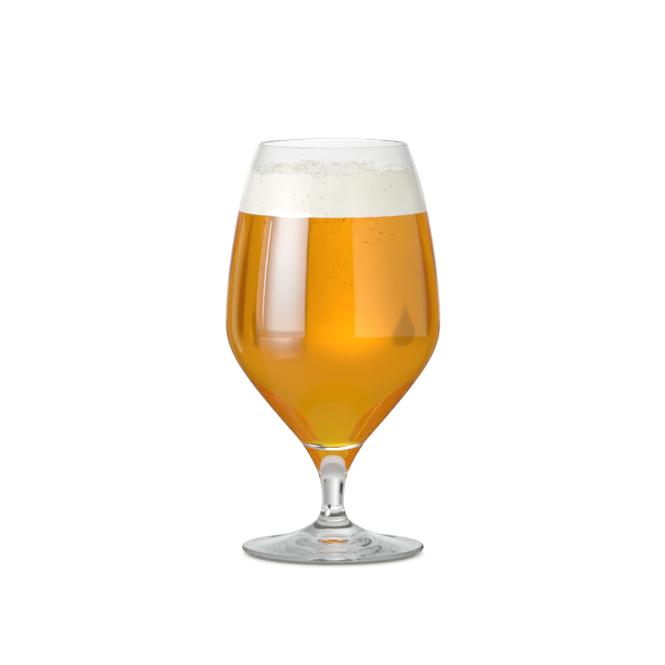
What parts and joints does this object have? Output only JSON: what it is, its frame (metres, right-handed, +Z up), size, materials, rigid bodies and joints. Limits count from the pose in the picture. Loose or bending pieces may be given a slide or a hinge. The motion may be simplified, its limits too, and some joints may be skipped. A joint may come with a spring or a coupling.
{
  "type": "tulip beer glass",
  "caption": "Stemmed tulip beer glass with a wide belly, a tapered rim and a round foot, filled with amber beer and a head of foam.",
  "frame": {"origin": "centre of the ring that the foot stands on, at table level", "axes": "+Z up along the glass's axis of revolution; the front of the picture faces -Y"},
  "size_m": [0.0946, 0.0946, 0.18],
  "materials": {
    "bowl_glass": "clear blown glass, polished",
    "stem_glass": "clear drawn glass, polished",
    "foot_glass": "clear pressed glass, polished",
    "beer": "clear amber beer, stood in for by a clear solid",
    "foam": "dense matt foam",
    "foam_film": "thin wet bubble film",
    "gas": "gas bubble in beer"
  },
  "bodies": {
    "root": {"bowl": "bowl_glass", "stem": "stem_glass", "foot": "foot_glass", "beer": "beer", "foam_head": "foam", "foam_bubbles": "foam_film", "rising_bubbles": "gas"}
  },
  "joints": []
}
